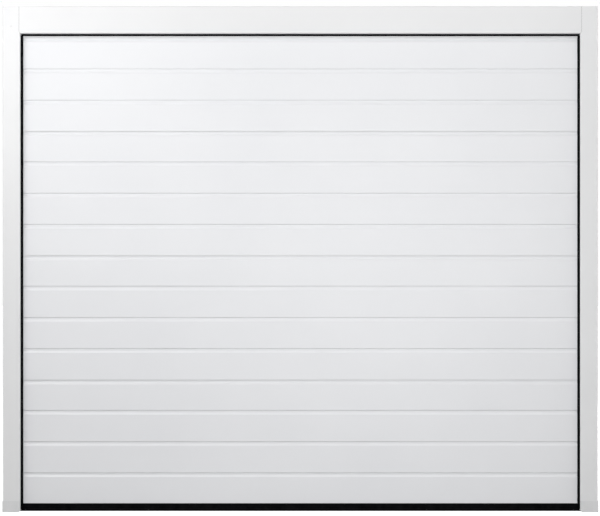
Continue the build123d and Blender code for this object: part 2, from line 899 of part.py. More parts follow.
def lift_cable():
    """Taut cable from the leaf's foot over the fixed pulley, round the loose one, to its stud."""
    pin = cable_pin()
    reach = math.dist(pin, (pulley_y, pulley_z))
    turn = math.atan2(pulley_y - pin[0], pulley_z - pin[1]) - math.asin(pulley_line / reach)
    eye_middle = (eye_radius + cable_pin_radius) / 2
    start = (pin[0] + eye_middle * math.sin(turn), pin[1] + eye_middle * math.cos(turn))
    touch = (pulley_y - pulley_line * math.cos(turn), pulley_z + pulley_line * math.sin(turn))
    over = (pulley_y, pulley_z + pulley_line)
    down = pulley_y + pulley_line
    path = [
        Line(start, touch),
        ThreePointArc(touch, over, (down, pulley_z)),
        Line((down, pulley_z), (down, block_z)),
        ThreePointArc((down, block_z), (spring_y, block_z - block_line), (anchor_y, block_z)),
        Line((anchor_y, block_z), (anchor_y, anchor_z - eye_middle)),
    ]
    wire = Plane((cable_x, 0, 0), x_dir=(0, 1, 0), z_dir=(1, 0, 0)) * Wire([line.edge() for line in path])
    section = RegularPolygon(cable_radius, cable_sides, major_radius=False)
    body = sweep(Plane(wire @ 0, x_dir=(1, 0, 0), z_dir=wire % 0) * section, path=wire)
    half = eye_width / 2
    for y, z in (pin, (anchor_y, anchor_z)):
        body += ring(cable_x - half, cable_x + half, y, z, eye_radius, cable_pin_radius + pin_play)
    return body


# Write every node

save_pair("jamb", jamb_front())
save_pair("jamb_return", jamb_fold())
save_pair("jamb_wall", jamb_wall())
save("header_panel", header())
save("header_return", header_fold())
save("header_flange", header_flange())
save("header_lips", *header_lips())
save("frame_feet", *both_sides([foot()]))
for number, section in enumerate(sections(), start=1):
    save(f"section_{number}", section)
save_pair("end_caps", *end_caps())
save("bottom_rail", bottom_rail())
save("bottom_seal", bottom_seal())
save_pair("side_seal", side_seal())
save("head_seal", head_seal())

lower_leaves = []
upper_leaves = []
pins = []
for joint in joint_levels:
    for column in middle_hinge_columns():
        lower_leaves.append(hinge_leaf(column, leaf_back, joint, True, outer_knuckles()))
        upper_leaves.append(hinge_leaf(column, leaf_back, joint, False, (0,)))
        pins.append(hinge_pin(column, leaf_back, joint))
    lower_leaves += both_sides([hinge_leaf(side_hinge_x, cap_back, joint, True, outer_knuckles())])
    pins += both_sides([hinge_pin(side_hinge_x, cap_back, joint)])
save("lower_hinge_leaves", *lower_leaves)
save("upper_hinge_leaves", *upper_leaves)
save("hinge_pins", *pins)
save_pair("side_hinge_carriers", *[side_hinge_carrier(joint) for joint in joint_levels])
save("bottom_brackets", *both_sides([bottom_bracket()]))
save("top_brackets", *both_sides([top_bracket()]))
save_pair("rollers", *[roller(y, z) for y, z in roller_places()])
save("roller_axles", *both_sides([roller_axle(y, z) for y, z in roller_places()]))

save_pair("vertical_track", vertical_track())
save_pair("curved_track", track_bend(bend_y, bend_z, track_y))
save_pair("horizontal_track", level_track(lower_track_z, bend_y, track_end))
save_pair("upper_track", upper_track())
save("track_brackets", *both_sides(track_brackets()))
save_pair("corner_plate", corner_plate())
save("rear_cross_bar", rear_bar())
save("ceiling_hangers", *both_sides([ceiling_hanger(front_hanger_y), ceiling_hanger(rear_hanger_y)]))

fixed_pulley = pulley(pulley_y, pulley_z, pulley_groove_radius)
loose_pulley = pulley(spring_y, block_z, block_groove_radius)
save("pulleys", *both_sides([fixed_pulley, loose_pulley]))
save("pulley_blocks", *both_sides([pulley_block()]))
save("spring_anchors", *both_sides([spring_anchor()]))
save_pair("spring", spring())
save_pair("lift_cable", lift_cable())
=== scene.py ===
"""Looks of a white sectional garage door: finishes, springs, cables, rollers, hinges and fasteners.

Metres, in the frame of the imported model: X across the doorway, Y from outside to inside, Z up,
with the origin in the middle of the header's front face.
"""
import json
import math

import bmesh
import bpy
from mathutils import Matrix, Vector


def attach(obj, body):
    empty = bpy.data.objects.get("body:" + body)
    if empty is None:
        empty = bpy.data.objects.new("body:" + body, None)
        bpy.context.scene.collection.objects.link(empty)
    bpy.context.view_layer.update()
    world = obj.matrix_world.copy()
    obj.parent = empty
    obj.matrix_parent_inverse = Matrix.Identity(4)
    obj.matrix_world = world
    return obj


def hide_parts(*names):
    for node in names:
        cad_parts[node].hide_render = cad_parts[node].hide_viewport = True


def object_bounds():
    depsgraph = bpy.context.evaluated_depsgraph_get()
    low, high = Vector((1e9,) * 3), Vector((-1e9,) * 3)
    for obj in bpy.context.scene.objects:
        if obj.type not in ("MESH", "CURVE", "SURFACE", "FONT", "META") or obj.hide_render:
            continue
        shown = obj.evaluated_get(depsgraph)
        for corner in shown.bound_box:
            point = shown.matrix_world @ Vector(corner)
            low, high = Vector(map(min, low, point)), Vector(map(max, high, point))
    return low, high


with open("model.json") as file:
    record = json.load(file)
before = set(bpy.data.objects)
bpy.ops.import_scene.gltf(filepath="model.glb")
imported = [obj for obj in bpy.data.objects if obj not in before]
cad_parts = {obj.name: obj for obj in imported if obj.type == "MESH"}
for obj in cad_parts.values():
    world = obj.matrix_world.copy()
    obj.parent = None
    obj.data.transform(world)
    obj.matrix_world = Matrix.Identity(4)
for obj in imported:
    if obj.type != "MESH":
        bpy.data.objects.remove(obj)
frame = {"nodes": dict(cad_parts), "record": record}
cad_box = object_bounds()

nodes = frame["nodes"]
floor_level = cad_box[0][2]
MM = 0.001

# Places on the CAD model, in millimetres, with Z up from the floor
joints = (588.7, 1145.9, 1703.1)
leaf_back, cap_back = 76.0, 77.5
middle_hinges = (-421.333, 421.333)
side_hinge_x = 1228.0
hinge_width, hinge_sheet = 70.0, 2.5
knuckle_length, knuckle_radius, knuckle_bore = 18.0, 6.0, 3.6
pivot_reach, pivot_rise, pin_radius = 6.3, 1.0, 3.5
screw_columns = (-22.0, 22.0)
track_y, track_back, plate_sheet = 100.0, 1324.0, 2.5
bend_y, bend_z, bend_radius = 400.0, 1875.5, 300.0
lower_track_z, upper_track_z = 2175.5, 2228.5
roller_x, roller_width, roller_rise = 1310.0, 16.0, 40.0
axle_start, axle_radius = 1196.0, 5.5
roller_places = [(track_y, 75.0)] + [(track_y, joint + roller_rise) for joint in joints]
roller_places.append((112.0, 2115.0))
cable_x, cable_radius, eye_reach = 1281.0, 2.0, 9.0
pin_y, pin_z = 118.0, 84.0
pulley_y, pulley_z = 175.0, 2160.0
groove_radius, block_groove_radius = 35.0, 20.0
pulley_rim, pulley_width = 7.0, 12.0
pulley_line, block_line = groove_radius + cable_radius, block_groove_radius + cable_radius
spring_y, block_z = 190.0, 1745.0
anchor_y, anchor_z = 168.0, 1950.0
spring_radius, spring_wire_radius, spring_turns = 22.0, 3.0, 92
hook_radius = 10.0
hook_low, hook_high = 182.7, 1703.3
hanger_places = (1400.0, 2400.0)
ceiling_level = 2380.0


# Shader helpers

def shader_node(tree, kind, links=None, **settings):
    """A shader node with its settings, and its inputs set or linked by name or number."""
    made = tree.nodes.new(kind)
    for key, value in settings.items():
        setattr(made, key, value)
    for key, value in (links or {}).items():
        if isinstance(value, bpy.types.NodeSocket):
            tree.links.new(value, made.inputs[key])
        else:
            made.inputs[key].default_value = value
    return made


def new_material(name, **sockets):
    """A material, its tree, shader and object coordinates, with constant sockets set."""
    material = bpy.data.materials.new(name)
    material.use_nodes = True
    tree = material.node_tree
    shader = tree.nodes["Principled BSDF"]
    for key, value in sockets.items():
        shader.inputs[key.replace("_", " ")].default_value = value
    place = shader_node(tree, "ShaderNodeTexCoord").outputs["Object"]
    return material, tree, shader, place


def noise(tree, place, scale, detail=2.0, stretch=None):
    """A noise value from 0 to 1, with a scale in turns a metre and a stretch of each axis."""
    if stretch:
        links = {"Vector": place, "Scale": stretch}
        place = shader_node(tree, "ShaderNodeMapping", links).outputs[0]
    links = {"Vector": place, "Scale": scale, "Detail": detail}
    return shader_node(tree, "ShaderNodeTexNoise", links).outputs["Fac"]


def spread(tree, value, low, high, start=0.3, end=0.7):
    """A value between start and end, mapped to another range."""
    links = {"Value": value, "From Min": start, "From Max": end, "To Min": low, "To Max": high}
    return shader_node(tree, "ShaderNodeMapRange", links).outputs["Result"]


def blend_colours(tree, factor, first, second):
    """A mix of two colours."""
    made = shader_node(tree, "ShaderNodeMix", data_type="RGBA")
    for socket, value in ((0, factor), (6, first), (7, second)):
        if isinstance(value, bpy.types.NodeSocket):
            tree.links.new(value, made.inputs[socket])
        else:
            made.inputs[socket].default_value = value
    return made.outputs[2]


def math_node(tree, operation, first, second):
    """One arithmetic step on two values."""
    links = {0: first, 1: second}
    return shader_node(tree, "ShaderNodeMath", links, operation=operation).outputs[0]


def bump(tree, shader, height, depth):
    """Surface relief of a given depth in metres, laid over any that the shader has."""
    links = {"Height": height, "Distance": depth, "Strength": 1.0}
    existing = shader.inputs["Normal"]
    if existing.is_linked:
        links["Normal"] = existing.links[0].from_socket
    made = shader_node(tree, "ShaderNodeBump", links)
    tree.links.new(made.outputs["Normal"], existing)


def marks(tree, place, centres):
    """A value near 1 in small round marks and 0 elsewhere, from pairs of a centre and a radius."""
    total = None
    for centre, radius in centres:
        links = {0: place, 1: centre}
        distance = shader_node(tree, "ShaderNodeVectorMath", links, operation="DISTANCE")
        spot = spread(tree, distance.outputs["Value"], 1.0, 0.0, radius * 0.6, radius)
        total = math_node(tree, "MAXIMUM", total, spot) if total else spot
    return total


def wire(tree, shader, socket, value):
    """Link a value to one of the shader's sockets."""
    tree.links.new(value, shader.inputs[socket])


# Materials

def paint(name, colour, shade, gloss, grain_depth, spots=()):
    """Powder-coated sheet: faint orange peel, slow waves in the sheet and a trace of unevenness."""
    material, tree, shader, place = new_material(name)
    tone = noise(tree, place, 2.3, 3.0)
    coat = blend_colours(tree, spread(tree, tone, 0.0, 1.0), colour, shade)
    if spots:
        dulled = tuple(0.9 * value for value in colour[:3]) + (1,)
        coat = blend_colours(tree, marks(tree, place, spots), coat, dulled)
    wire(tree, shader, "Base Color", coat)
    sheen = spread(tree, noise(tree, place, 60.0, 4.0), gloss - 0.03, gloss + 0.05)
    wire(tree, shader, "Roughness", sheen)
    bump(tree, shader, noise(tree, place, 1.6, 1.0, stretch=(1.0, 1.0, 3.0)), 0.0012)
    bump(tree, shader, noise(tree, place, 700.0, 2.0), grain_depth)
    return material


def leaf_paint():
    """Skin of the sections: smooth satin paint outside, grey-white stucco inside."""
    white, shade = (0.84, 0.846, 0.862, 1), (0.82, 0.827, 0.845, 1)
    material = paint("leaf_paint", white, shade, 0.42, 0.00004)
    tree = material.node_tree
    shader = tree.nodes["Principled BSDF"]
    coordinates = shader_node(tree, "ShaderNodeTexCoord")
    split = shader_node(tree, "ShaderNodeSeparateXYZ", {0: coordinates.outputs["Normal"]})
    inside = math_node(tree, "GREATER_THAN", split.outputs["Y"], 0.3)
    outer_colour = shader.inputs["Base Color"].links[0].from_socket
    colour = blend_colours(tree, inside, outer_colour, (0.72, 0.72, 0.7, 1))
    wire(tree, shader, "Base Color", colour)
    links = {"Vector": coordinates.outputs["Object"], "Scale": 210.0, "Randomness": 1.0}
    cells = shader_node(tree, "ShaderNodeTexVoronoi", links, feature="SMOOTH_F1")
    dimple = math_node(tree, "MULTIPLY", cells.outputs["Distance"], inside)
    bump(tree, shader, dimple, 0.0009)
    return material


def moulded_plastic():
    """Satin moulded plastic of the feet."""
    material, tree, shader, place = new_material("white_plastic", Specular_IOR_Level=0.45)
    tone = spread(tree, noise(tree, place, 14.0, 3.0), 0.0, 1.0)
    colour = blend_colours(tree, tone, (0.77, 0.772, 0.775, 1), (0.735, 0.737, 0.742, 1))
    wire(tree, shader, "Base Color", colour)
    wire(tree, shader, "Roughness", spread(tree, noise(tree, place, 90.0), 0.45, 0.6))
    bump(tree, shader, noise(tree, place, 1500.0, 2.0), 0.00004)
    gates = [((x, 0.0, floor_level + 0.013), 0.0035) for x in (-1.2975, -1.2785, 1.297)]
    bump(tree, shader, marks(tree, place, gates), -0.0006)
    return material


def rubber():
    """Matt black extruded rubber with fine lines along it and a little dust."""
    material, tree, shader, place = new_material("rubber", Specular_IOR_Level=0.03)
    dust = spread(tree, noise(tree, place, 35.0, 4.0), 0.0, 1.0)
    colour = blend_colours(tree, dust, (0.0015, 0.0015, 0.002, 1), (0.005, 0.005, 0.006, 1))
    wire(tree, shader, "Base Color", colour)
    wire(tree, shader, "Roughness", spread(tree, noise(tree, place, 400.0), 0.55, 0.75))
    bump(tree, shader, noise(tree, place, 500.0, 2.0, stretch=(0.1, 1.0, 1.0)), 0.00012)
    return material


def sheet_metal(name, light, dark, cell, gloss, relief):
    """Zinc-coated sheet: crystal spangle in colour and gloss, over a faint rolling grain."""
    material, tree, shader, place = new_material(name, Metallic=1.0)
    links = {"Vector": place, "Scale": (1.0, 0.8, 0.7)}
    warped = shader_node(tree, "ShaderNodeMapping", links).outputs[0]
    links = {"Vector": warped, "Scale": cell, "Randomness": 1.0}
    spangle = shader_node(tree, "ShaderNodeTexVoronoi", links)
    grey = shader_node(tree, "ShaderNodeSeparateColor", {0: spangle.outputs["Color"]}).outputs[0]
    cloud = noise(tree, place, 9.0, 4.0)
    amount = math_node(tree, "MULTIPLY", grey, spread(tree, cloud, 0.5, 1.0))
    wire(tree, shader, "Base Color", blend_colours(tree, amount, (*light, 1), (*dark, 1)))
    wire(tree, shader, "Roughness", spread(tree, grey, gloss, gloss + 0.14, 0.0, 1.0))
    bump(tree, shader, noise(tree, place, 650.0, 3.0), relief)
    return material


def turned_steel():
    """Bright turned bar with fine rings along X."""
    material, tree, shader, place = new_material("steel", Metallic=1.0)
    rings = noise(tree, place, 900.0, 2.0, stretch=(1.0, 0.03, 0.03))
    colour = blend_colours(tree, rings, (0.56, 0.57, 0.58, 1), (0.4, 0.4, 0.41, 1))
    wire(tree, shader, "Base Color", colour)
    wire(tree, shader, "Roughness", spread(tree, noise(tree, place, 120.0, 3.0), 0.22, 0.38))
    bump(tree, shader, rings, 0.00005)
    return material


def nylon():
    """Natural nylon, slightly see-through at its edges, with fine turning marks."""
    sockets = {"Subsurface_Weight": 0.15, "Subsurface_Scale": 0.002}
    material, tree, shader, place = new_material("nylon", **sockets)
    tone = spread(tree, noise(tree, place, 40.0, 3.0), 0.0, 1.0)
    colour = blend_colours(tree, tone, (0.76, 0.75, 0.7, 1), (0.66, 0.65, 0.6, 1))
    wire(tree, shader, "Base Color", colour)
    wire(tree, shader, "Roughness", spread(tree, noise(tree, place, 150.0), 0.4, 0.55))
    bump(tree, shader, noise(tree, place, 1100.0, 2.0), 0.00004)
    return material


def oiled_spring():
    """Dark oil-hardened wire with a thin uneven film of oil and dust."""
    sockets = {"Metallic": 0.85, "Coat_Weight": 0.25, "Coat_Roughness": 0.3}
    material, tree, shader, place = new_material("spring_steel", **sockets)
    film = spread(tree, noise(tree, place, 30.0, 5.0), 0.0, 1.0)
    colour = blend_colours(tree, film, (0.055, 0.056, 0.06, 1), (0.14, 0.135, 0.125, 1))
    wire(tree, shader, "Base Color", colour)
    wire(tree, shader, "Roughness", spread(tree, noise(tree, place, 220.0, 3.0), 0.3, 0.5))
    bump(tree, shader, noise(tree, place, 900.0, 3.0), 0.00006)
    return material


def strand_wire():
    """Galvanised wires of the cable's strands."""
    material, tree, shader, place = new_material("cable", Metallic=1.0)
    wires = noise(tree, place, 1400.0, 2.0, stretch=(1.0, 1.0, 0.35))
    colour = blend_colours(tree, wires, (0.6, 0.61, 0.62, 1), (0.34, 0.34, 0.35, 1))
    wire(tree, shader, "Base Color", colour)
    wire(tree, shader, "Roughness", spread(tree, noise(tree, place, 300.0), 0.3, 0.45))
    bump(tree, shader, wires, 0.00012)
    return material


frame_white, frame_shade = (0.815, 0.817, 0.82, 1), (0.795, 0.797, 0.802, 1)
frame_spots = [((-1.2909, 0.0, -0.0288), 0.005)]
frame_spots += [((1.3268, 0.0, height), 0.006) for height in (0.05, 0.012)]
materials = {
    "white_paint": paint("white_paint", frame_white, frame_shade, 0.36, 0.00005, frame_spots),
    "leaf_paint": leaf_paint(),
    "white_plastic": moulded_plastic(),
    "rubber": rubber(),
    "rail": sheet_metal("rail", (0.62, 0.63, 0.64), (0.55, 0.56, 0.57), 900.0, 0.3, 0.00003),
    "zinc": sheet_metal("zinc", (0.66, 0.68, 0.7), (0.5, 0.52, 0.54), 130.0, 0.34, 0.00005),
    "hinge_zinc": sheet_metal(
        "hinge_zinc", (0.72, 0.73, 0.74), (0.56, 0.57, 0.58), 420.0, 0.26, 0.00004),
    "steel": turned_steel(),
    "nylon": nylon(),
    "spring_steel": oiled_spring(),
    "cable": strand_wire(),
}


for row in frame["record"]["subparts"]:
    node_mesh = nodes[row["node"]].data
    node_mesh.materials.clear()
    node_mesh.materials.append(materials[row["material_slot"]])


def soften(width, *names):
    """A small rounding on the sharp edges of CAD nodes."""
    for name in names:
        weld = nodes[name].modifiers.new("weld", "WELD")
        weld.merge_threshold = 1e-5
        bevel = nodes[name].modifiers.new("bevel", "BEVEL")
        bevel.width = width
        bevel.segments = 2
        bevel.limit_method = "ANGLE"
        bevel.angle_limit = math.radians(50)
        bevel.harden_normals = True


soften(0.0008, "bottom_rail")
soften(0.00035, "rear_cross_bar", "ceiling_hangers", "spring_anchors", "track_brackets")
soften(0.00035, "corner_plate_left", "corner_plate_right")


# Shapes

class Form:
    """Points in millimetres, with Z up from the floor, and faces between them, for one piece."""

    def __init__(self):
        self.points = []
        self.faces = []

    def add(self, points, faces):
        """More points, and faces that number them from 0."""
        start = len(self.points)
        self.points += [Vector(point) for point in points]
        self.faces += [[start + i for i in face] for face in faces]

    def loft(self, rings, closed=False):
        """A skin over rings of equally many points, capped unless it closes on itself."""
        count, total = len(rings[0]), len(rings)
        faces = []
        for i in range(total if closed else total - 1):
            low, high = i * count, (i + 1) % total * count
            for k in range(count):
                after = (k + 1) % count
                faces.append((low + k, low + after, high + after, high + k))
        if not closed:
            faces += [tuple(range(count)), tuple(range((total - 1) * count, total * count))]
        self.add([point for ring in rings for point in ring], faces)

    def prism(self, outline, x0, x1, edge=0.0):
        """An outline in YZ run along X, with its two rims cut back by a small edge."""
        if not edge:
            self.loft([[(x, y, z) for y, z in outline] for x in (x0, x1)])
            return
        middle = Vector((sum(y for y, z in outline), sum(z for y, z in outline))) / len(outline)
        inner = []
        for y, z in outline:
            away = Vector((y, z)) - middle
            inner.append(tuple(middle + away * (1 - edge / max(away.length, edge))))
        steps = ((x0, inner), (x0 + edge, outline), (x1 - edge, outline), (x1, inner))
        self.loft([[(x, y, z) for y, z in line] for x, line in steps])

    def lathe(self, profile, place, steps, hollow=False):
        """A shape turned about X through a place, from pairs of a distance along X and a radius."""
        x0, y0, z0 = place
        rings = []
        for along, radius in profile:
            rings.append([(x0 + along, y0 + y, z0 + z) for y, z in circle(radius, steps)])
        self.loft(rings, closed=hollow)

    def tube(self, path, section):
        """A section carried along a path, from one list of pairs or a list for each point."""
        path = [Vector(point) for point in path]
        sections = section if isinstance(section[0], list) else [section] * len(path)
        side = Vector((1, 0, 0))
        rings = []
        for i, point in enumerate(path):
            ahead = (path[min(i + 1, len(path) - 1)] - path[max(i - 1, 0)]).normalized()
            side = (side - ahead * side.dot(ahead)).normalized()
            up = ahead.cross(side)
            rings.append([point + side * u + up * v for u, v in sections[i]])
        self.loft(rings)

    def bolt(self, place, normal, size=5.0, height=4.5, washer=7.5):
        """A hexagon head on a round washer, standing on a face."""
        turn = Vector(normal).to_track_quat("Z", "Y").to_matrix()
        steps, flange, chamfer, corner = 12, 0.9, 0.6, size * 1.15
        plain = [1.0] * steps
        hexagon = [1.0 if i % 2 else math.cos(math.pi / 6) for i in range(steps)]
        levels = [(0.0, washer, plain), (flange, washer, plain)]
        levels += [(flange + 0.4, washer - chamfer, plain), (flange + 0.4, corner, hexagon)]
        levels += [(height - chamfer, corner, hexagon), (height, size * 0.86, plain)]
        levels.append((height - 0.5, size * 0.5, plain))
        rings = []
        for level, radius, shares in levels:
            spots = zip(circle(radius, steps), shares)
            outline = [Vector((x * share, y * share, level)) for (x, y), share in spots]
            rings.append([Vector(place) + turn @ point for point in outline])
        self.loft(rings)

    def dome(self, place, normal, radius, height):
        """A low round head, such as a rivet's."""
        turn = Vector(normal).to_track_quat("Z", "Y").to_matrix()
        levels = ((0.0, 1.0), (0.25, 0.98), (0.6, 0.82), (0.87, 0.5), (1.0, 0.15))
        rings = []
        for level, wide in levels:
            outline = [Vector((x, y, height * level)) for x, y in circle(radius * wide, 14)]
            rings.append([Vector(place) + turn @ point for point in outline])
        self.loft(rings)

    def mirrored(self):
        """The same form on the other side of the doorway."""
        other = Form()
        points = [(-point.x, point.y, point.z) for point in self.points]
        other.add(points, [face[::-1] for face in self.faces])
        return other

    def joined(self, other):
        """This form with another one added."""
        self.add(other.points, other.faces)
        return self


def make(name, slot, form, *replaced, sharp=32):
    """A piece from a form, with its finish, riding on the door."""
    mesh = bpy.data.meshes.new(name)
    floor = Vector((0, 0, floor_level))
    mesh.from_pydata([point * MM + floor for point in form.points], [], form.faces)
    work = bmesh.new()
    work.from_mesh(mesh)
    bmesh.ops.remove_doubles(work, verts=work.verts, dist=1e-6)
    bmesh.ops.recalc_face_normals(work, faces=work.faces)
    work.to_mesh(mesh)
    work.free()
    mesh.shade_smooth()
    mesh.set_sharp_from_angle(angle=math.radians(sharp))
    mesh.materials.append(materials[slot])
    piece = bpy.data.objects.new(name, mesh)
    bpy.context.scene.collection.objects.link(piece)
    if replaced:
        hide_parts(*replaced)
    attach(piece, "root")


def make_pair(name, slot, form, replaced=None, **options):
    """A right-hand piece and its mirror image, which may each stand for a node."""
    for side, shape in (("right", form), ("left", form.mirrored())):
        nodes_of_side = [f"{replaced}_{side}"] if replaced else []
        make(f"{name}_{side}", slot, shape, *nodes_of_side, **options)


def circle(radius, steps):
    """Points round a circle in a plane."""
    angles = [math.tau * i / steps for i in range(steps)]
    return [(radius * math.cos(angle), radius * math.sin(angle)) for angle in angles]


def arc(centre, radius, start, end, steps):
    """Points of an arc in YZ, with angles in degrees from +Y towards +Z."""
    y, z = centre
    angles = [math.radians(start + (end - start) * i / steps) for i in range(steps + 1)]
    return [(y + radius * math.cos(angle), z + radius * math.sin(angle)) for angle in angles]


def rounded(points, radius, steps):
    """A closed outline with its corners rounded."""
    result = []
    for i, corner in enumerate(points):
        here = Vector(corner)
        before, after = Vector(points[i - 1]) - here, Vector(points[(i + 1) % len(points)]) - here
        reach = min(radius, before.length * 0.48, after.length * 0.48)
        start, end = here + before.normalized() * reach, here + after.normalized() * reach
        for k in range(steps + 1):
            t = k / steps
            result.append(tuple(start * (1 - t) ** 2 + here * 2 * t * (1 - t) + end * t ** 2))
    return result


# Counterbalance

def cable_route():
    """Middle line of a lift cable in YZ, from the leaf's foot round both pulleys to its anchor."""
    reach = math.hypot(pulley_y - pin_y, pulley_z - pin_z)
    lean = math.atan2(pulley_y - pin_y, pulley_z - pin_z) - math.asin(pulley_line / reach)
    start = (pin_y + eye_reach * math.sin(lean), pin_z + eye_reach * math.cos(lean))
    turn = math.degrees(lean)
    route = [start] + arc((pulley_y, pulley_z), pulley_line, 180 - turn, 0, 40)
    route += arc((spring_y, block_z), block_line, 0, -180, 28)
    return route + [(anchor_y, anchor_z - eye_reach)]


def evenly(route, step):
    """Points at equal steps along a line."""
    points = [Vector(point) for point in route]
    lengths = [(b - a).length for a, b in zip(points, points[1:])]
    total = sum(lengths)
    count = round(total / step)
    result, index, passed = [], 0, 0.0
    for i in range(count + 1):
        wanted = total * i / count
        while index < len(lengths) - 1 and passed + lengths[index] < wanted:
            passed += lengths[index]
            index += 1
        result.append(points[index].lerp(points[index + 1], (wanted - passed) / lengths[index]))
    return result


def strand_section(turn):
    """Outline of six strands, turned by an angle."""
    shares = (0.74, 1.0, 0.86) * 6
    points = []
    for i, share in enumerate(shares):
        reach, angle = cable_radius * share, math.tau * i / len(shares) + turn
        points.append((reach * math.cos(angle), reach * math.sin(angle)))
    return points


def bezier(p0, p1, p2, p3, steps):
    """Points of a curve between two ends, without the ends, past two control points."""
    result = []
    for i in range(1, steps):
        t = i / steps
        point = Vector(p0) * (1 - t) ** 3 + Vector(p1) * 3 * t * (1 - t) ** 2
        result.append(tuple(point + Vector(p2) * 3 * t * t * (1 - t) + Vector(p3) * t ** 3))
    return result


def springs():
    """Stretched tension springs with their hooks."""
    coil, hook_neck = spring_radius - spring_wire_radius, 10.0
    low, high = hook_low + hook_radius + hook_neck, hook_high - hook_radius - hook_neck
    loop = [(cable_x, y, z) for y, z in arc((spring_y, hook_low), hook_radius, 70, -240, 24)]
    first = (cable_x, spring_y + coil, low)
    tip = loop[-1]
    after_tip = (cable_x, tip[1] + 9.0, tip[2] + 5.0)
    before_first = (cable_x - 14.0, first[1], low - 1.0)
    end = loop + bezier(tip, after_tip, before_first, first, 8)
    steps = 16
    wound = []
    for i in range(spring_turns * steps + 1):
        angle = math.tau * i / steps
        level = low + (high - low) * i / (spring_turns * steps)
        wound.append((cable_x + coil * math.sin(angle), spring_y + coil * math.cos(angle), level))
    other = [(2 * cable_x - x, y, low + high - z) for x, y, z in reversed(end)]
    form = Form()
    form.tube(end + wound + other, circle(spring_wire_radius, 8))
    make_pair("tension_spring", "spring_steel", form, "spring", sharp=60)


def cables():
    """Stranded lift cables with an eye and a crimped sleeve at each end."""
    step, twist = 3.4, 0.75
    eye_radius, eye_wire_radius = 7.3, 1.95
    lengths = ((eye_reach, 2.6), (9.8, 3.9), (14.0, 4.3), (24.0, 4.3), (25.4, 3.8), (26.0, 2.4))
    route = evenly(cable_route(), step)
    form = Form()
    sections = [strand_section(i * twist) for i in range(len(route))]
    form.tube([(cable_x, y, z) for y, z in route], sections)
    for (y, z), toward in (((pin_y, pin_z), route[8]), ((anchor_y, anchor_z), route[-9])):
        eye = [(cable_x, a, b) for a, b in arc((y, z), eye_radius, 0, 359, 30)]
        form.tube(eye, circle(eye_wire_radius, 8))
        way = (Vector(toward) - Vector((y, z))).normalized()
        sleeve = [(cable_x, *(Vector((y, z)) + way * along)) for along, _ in lengths]
        form.tube(sleeve, [[(u, v * 0.8) for u, v in circle(radius, 14)] for _, radius in lengths])
    make_pair("stranded_cable", "cable", form, "lift_cable", sharp=70)


def turned(places, profile, steps, hollow=False):
    """One form of the same turned shape at several places."""
    form = Form()
    for place in places:
        form.lathe(profile, place, steps, hollow)
    return form


def pulleys():
    """Cable pulleys with a rounded groove, a thinner web and a steel bearing."""
    half = pulley_width / 2
    web_depth, hub_radius, seat_radius, bore_radius, throat_radius = 3.0, 14.0, 11.0, 6.1, 2.4
    angles = [math.radians(turn) for turn in (-80, -40, 0, 40, 80)]
    cage = [(-half + 0.4, seat_radius), (-half + 0.4, bore_radius), (half - 0.4, bore_radius)]
    cage.append((half - 0.4, seat_radius))
    wheels = ((pulley_y, pulley_z, groove_radius), (spring_y, block_z, block_groove_radius))
    form, bearing = Form(), Form()
    for y, z, groove in wheels:
        rim, web = groove + pulley_rim, groove - 5.0
        throat = []
        for angle in angles:
            rise = throat_radius * (1 - math.cos(angle))
            throat.append((throat_radius * math.sin(angle), groove + rise))
        near_rim = [(half - 2.2, rim - 0.6), (half - 0.8, rim)]
        near = [(half, rim - 1.0), (half, web), (half - web_depth, web - 1.5)]
        near += [(half - web_depth, hub_radius + 1.5), (half, hub_radius), (half, seat_radius)]
        far, far_rim = [[(-x, radius) for x, radius in reversed(side)] for side in (near, near_rim)]
        form.lathe(far + far_rim + throat + near_rim + near, (cable_x, y, z), 48, True)
        bearing.lathe(cage, (cable_x, y, z), 28, True)
    make("pulley_wheels", "nylon", form.joined(form.mirrored()), "pulleys", sharp=40)
    make("pulley_bearings", "steel", bearing.joined(bearing.mirrored()))


def pulley_forks():
    """Forks that hang the loose pulleys on their springs, with riveted pins."""
    gap = pulley_width / 2 + 0.3
    low, head_radius, foot_radius = block_z - 45.0, 12.0, 9.0
    outline = arc((spring_y, block_z), head_radius, 0, 180, 14)
    outline += arc((spring_y, low + foot_radius), foot_radius, 180, 360, 14)
    form = Form()
    for start in (cable_x - gap - hinge_sheet, cable_x + gap):
        form.prism(outline, start, start + hinge_sheet, 0.4)
    for level, radius in ((block_z, 6.0), (low + 6.0, 4.0)):
        head = radius + 2.5
        end = [(gap + 2.4, radius), (gap + 2.6, head), (gap + 4.2, head - 1)]
        end.append((gap + 4.6, radius * 0.6))
        profile = [(-along, reach) for along, reach in reversed(end)] + end
        form.lathe(profile, (cable_x, spring_y, level), 24)
    make("pulley_forks", "hinge_zinc", form.joined(form.mirrored()), "pulley_blocks")


# Rollers, axles and pins

def rollers():
    """Nylon rollers with a rounded tread and a pressed steel bearing."""
    start, seat_radius = -roller_width / 2, 15.0
    tread = [(start, seat_radius), (start, 20.5), (start + 0.6, 21.8), (start + 1.8, 22.7)]
    tread.append((start + 3.5, 23.0))
    tread += [(-x, radius) for x, radius in reversed(tread)]
    bearing = [(start + 1.2, seat_radius), (start + 0.6, 14.2), (start + 0.2, 12.6)]
    bearing += [(start + 1.4, 12.0), (start + 1.4, 9.0), (start, 8.4), (start, axle_radius + 0.2)]
    bearing += [(-x, radius) for x, radius in reversed(bearing)]
    places = [(roller_x, y, z) for y, z in roller_places]
    make_pair("roller_treads", "nylon", turned(places, tread, 44, True), "rollers")
    make_pair("roller_bearings", "steel", turned(places, bearing, 32, True))


